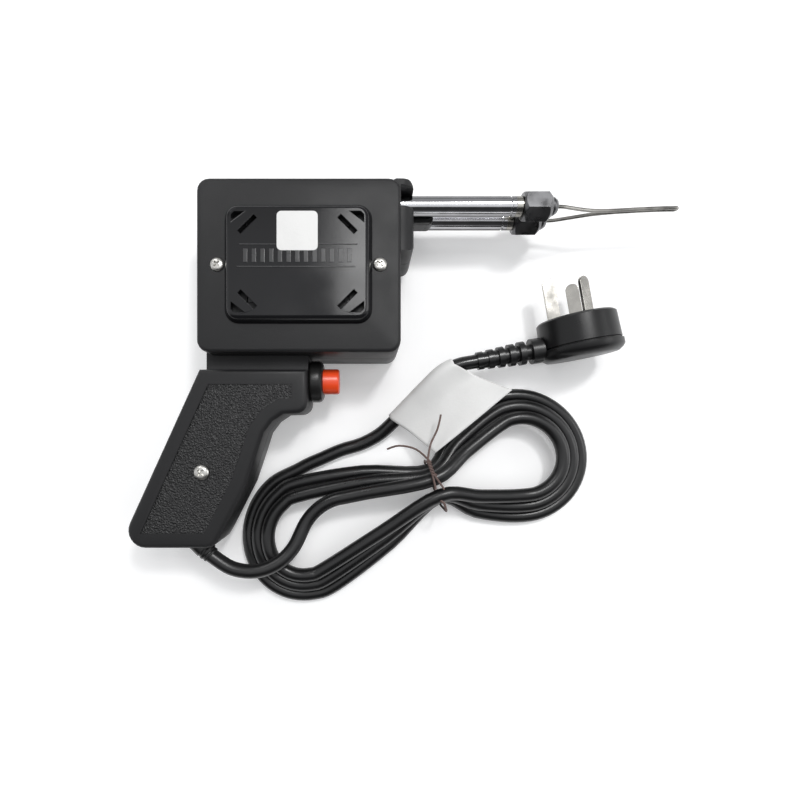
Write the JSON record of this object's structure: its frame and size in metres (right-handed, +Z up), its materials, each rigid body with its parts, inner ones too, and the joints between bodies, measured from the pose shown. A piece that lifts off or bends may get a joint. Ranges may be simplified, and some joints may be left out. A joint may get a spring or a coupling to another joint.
{
  "type": "instant-heat soldering gun",
  "caption": "Pistol-shaped transformer soldering gun in black plastic with a twin-tube barrel, wire tip, red push button and a mains lead tied in a hank",
  "frame": {"origin": "On the surface that the gun lies on, under the middle of the gun's own bounding box", "axes": "+X along the barrel towards the tip, +Y from the handle to the top of the housing, +Z up out of the front vent panel"},
  "size_m": [0.2627, 0.2024, 0.0503],
  "materials": {
    "satin_plastic": "satin, fine moulded grain",
    "gloss_plastic": "glossy",
    "red_plastic": "glossy",
    "bobbin_plastic": "matte",
    "switch_plastic": "moulded phenolic",
    "wire_plastic": "plain",
    "lead_rubber": "smooth, slightly shiny",
    "label": "white, blank",
    "tie_paper": "paper-covered wire",
    "chrome": "polished",
    "dark_nickel": "dark nickel plating",
    "steel": "zinc plated",
    "pin_metal": "nickel-plated brass",
    "brass": "plain",
    "copper": "enamelled copper",
    "tinned_copper": "tinned copper, dulled by heat"
  },
  "bodies": {
    "gun": {"front_shell": "satin_plastic", "back_shell": "satin_plastic", "front_panel": "gloss_plastic", "back_panel": "gloss_plastic", "sticker": "label", "tube_spacer": "satin_plastic", "upper_tube": "chrome", "lower_tube": "chrome", "upper_stud": "steel", "lower_stud": "steel", "tip_wire": "tinned_copper", "core": "steel", "bobbin": "bobbin_plastic", "primary_winding": "copper", "secondary_rod": "copper", "button_collar": "gloss_plastic", "button_spring": "steel", "switch_body": "switch_plastic", "switch_contacts": "brass", "housing_screws": "steel", "handle_screw": "steel", "cord_clamp": "steel", "clamp_screws": "steel", "inner_lead": "lead_rubber", "inner_wires": "wire_plastic", "cord_gland": "lead_rubber", "lead_run": "lead_rubber", "lead_hank": "lead_rubber", "lead_tail": "lead_rubber", "hank_tie": "tie_paper", "lead_tag": "label", "plug_body": "gloss_plastic", "plug_cover": "gloss_plastic", "plug_relief": "lead_rubber", "plug_pins": "pin_metal"},
    "trigger": {"button": "red_plastic", "contact_bridge": "brass"},
    "nut_upper": {"upper_nut": "dark_nickel"},
    "nut_lower": {"lower_nut": "dark_nickel"}
  },
  "joints": [
    {"name": "trigger_slide", "type": "slide", "parent": "gun", "child": "trigger", "axis": [-1, 0, 0], "range_m": [0, 0.0035], "stiffness_N_per_m": 900, "springref_m": -0.001, "deforming": ["button_spring"]},
    {"name": "upper_nut_turn", "type": "hinge", "parent": "gun", "child": "nut_upper", "pos_m": [0.058, 0.07645, 0.033], "axis": [1, 0, 0], "continuous": true},
    {"name": "lower_nut_turn", "type": "hinge", "parent": "gun", "child": "nut_lower", "pos_m": [0.058, 0.07645, 0.017], "axis": [1, 0, 0], "continuous": true}
  ]
}
